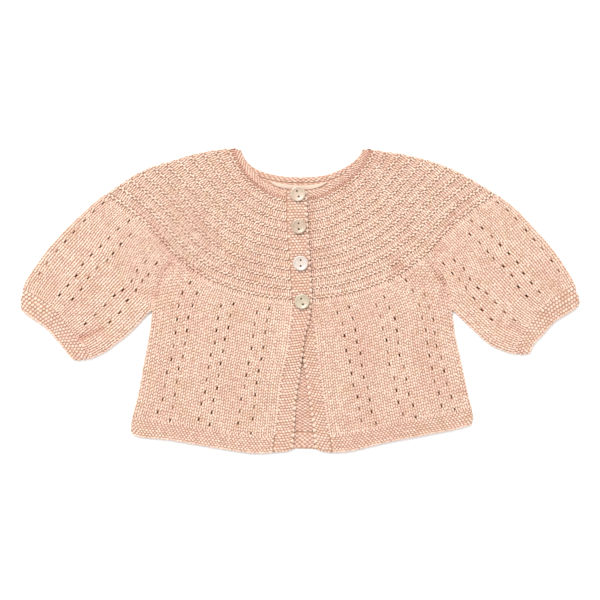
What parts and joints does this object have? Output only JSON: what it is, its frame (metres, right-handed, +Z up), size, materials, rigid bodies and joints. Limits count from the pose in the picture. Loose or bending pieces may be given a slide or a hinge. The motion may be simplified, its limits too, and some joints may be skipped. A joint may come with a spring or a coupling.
{
  "type": "baby cardigan",
  "caption": "Hand-knitted baby cardigan laid flat: welted round yoke, eyelet columns on fronts and sleeves, garter cuffs, hem and bands, shell buttons.",
  "frame": {"origin": "middle of the footprint, on the surface that the cardigan lies on", "axes": "+X across the garment from the wearer's right sleeve to the left, +Y from hem to neck, +Z up out of the laid front"},
  "size_m": [0.46, 0.2504, 0.0101],
  "materials": {
    "yarn": "soft matt pale salmon-pink wool yarn, hand knitted",
    "cotton_tape": "plain woven cream cotton tape",
    "shell_grey": "polished mother-of-pearl, greyish cream",
    "shell_tan": "polished mother-of-pearl, tan",
    "shell_white": "polished mother-of-pearl, white",
    "shell_green": "polished mother-of-pearl, greenish cream"
  },
  "bodies": {
    "root": {"yoke": "yarn", "neckband": "yarn", "back": "yarn", "back_hem": "yarn", "right_front": "yarn", "left_front": "yarn", "right_front_hem": "yarn", "left_front_hem": "yarn", "right_sleeve": "yarn", "left_sleeve": "yarn", "right_cuff": "yarn", "left_cuff": "yarn", "buttonhole_band": "yarn", "button_band": "yarn", "neck_tape": "cotton_tape", "button_1": "shell_grey", "button_2": "shell_tan", "button_3": "shell_white", "button_4": "shell_green"}
  },
  "joints": []
}
